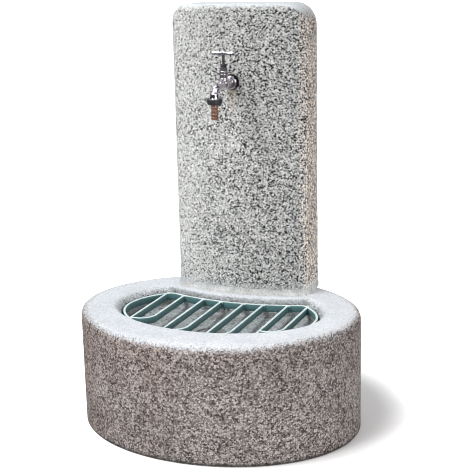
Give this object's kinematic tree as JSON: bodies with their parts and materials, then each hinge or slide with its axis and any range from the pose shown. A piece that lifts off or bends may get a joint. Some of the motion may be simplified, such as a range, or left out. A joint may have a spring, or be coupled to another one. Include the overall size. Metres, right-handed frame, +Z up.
{
  "type": "drinking fountain",
  "caption": "Outdoor drinking fountain: an oval concrete basin with a lift-out bar grate and a bowed concrete column that carries a bib tap with a hose tail.",
  "frame": {"origin": "on the ground, under the middle of the footprint", "axes": "+Z up, the tap and the bowl face -Y, +X to the right of someone looking at the column's back"},
  "size_m": [0.6, 0.45, 0.866],
  "materials": {
    "basin_concrete": "washed aggregate, matte",
    "column_concrete": "washed aggregate, matte",
    "mortar": "matte",
    "grate_paint": "satin paint",
    "plain_steel": "plain",
    "stainless": "satin",
    "chrome": "polished",
    "brass": "satin",
    "copper": "satin",
    "dark_metal": "satin",
    "grey_plastic": "matte",
    "dark_plastic": "matte",
    "black_rubber": "matte",
    "fibre": "matte"
  },
  "bodies": {
    "root": {"basin": "basin_concrete", "mortar_bed": "mortar", "column": "column_concrete", "column_dowels": "plain_steel", "drain_body": "stainless", "drain_gasket": "black_rubber", "drain_washer": "black_rubber", "drain_locknut": "brass", "drain_elbow": "grey_plastic", "drain_pipe": "grey_plastic", "supply_pipe": "copper", "pipe_clips": "dark_plastic", "fixing_screws": "stainless", "inlet_fitting": "brass", "compression_nuts": "brass", "wall_elbow": "brass", "tap_extension": "brass", "wall_rosette": "chrome", "tap_body": "chrome", "bonnet_gasket": "fibre", "tap_bonnet": "chrome", "gland_packing": "fibre", "gland_nut": "dark_metal", "union_nut": "dark_metal", "union_washer": "black_rubber", "hose_tail": "copper"},
    "valve": {"jumper": "brass", "seat_washer": "black_rubber"},
    "handle": {"spindle": "dark_metal", "tap_handle": "chrome", "handle_screw": "stainless"},
    "grate": {"grate_band": "grate_paint", "grate_hairpin_1": "grate_paint", "grate_hairpin_2": "grate_paint", "grate_hairpin_3": "grate_paint", "grate_hairpin_4": "grate_paint"},
    "strainer": {"drain_strainer": "stainless"}
  },
  "joints": [
    {"name": "valve_lift", "type": "slide", "parent": "root", "child": "valve", "axis": [0, 0, 1], "range_m": [0, 0.003]},
    {"name": "handle_turn", "type": "hinge", "parent": "valve", "child": "handle", "pos_m": [0, 0.071, 0.707], "axis": [0, 0, 1], "range_deg": [0, 540]},
    {"name": "grate_lift", "type": "slide", "parent": "root", "child": "grate", "axis": [0, 0, 1], "range_m": [0, 0.15]},
    {"name": "strainer_lift", "type": "slide", "parent": "root", "child": "strainer", "axis": [0, 0, 1], "range_m": [0, 0.015]}
  ],
  "couplings": [
    {"joint": "valve_lift", "follows": "handle_turn", "m_per_rad": 0.000318}
  ]
}
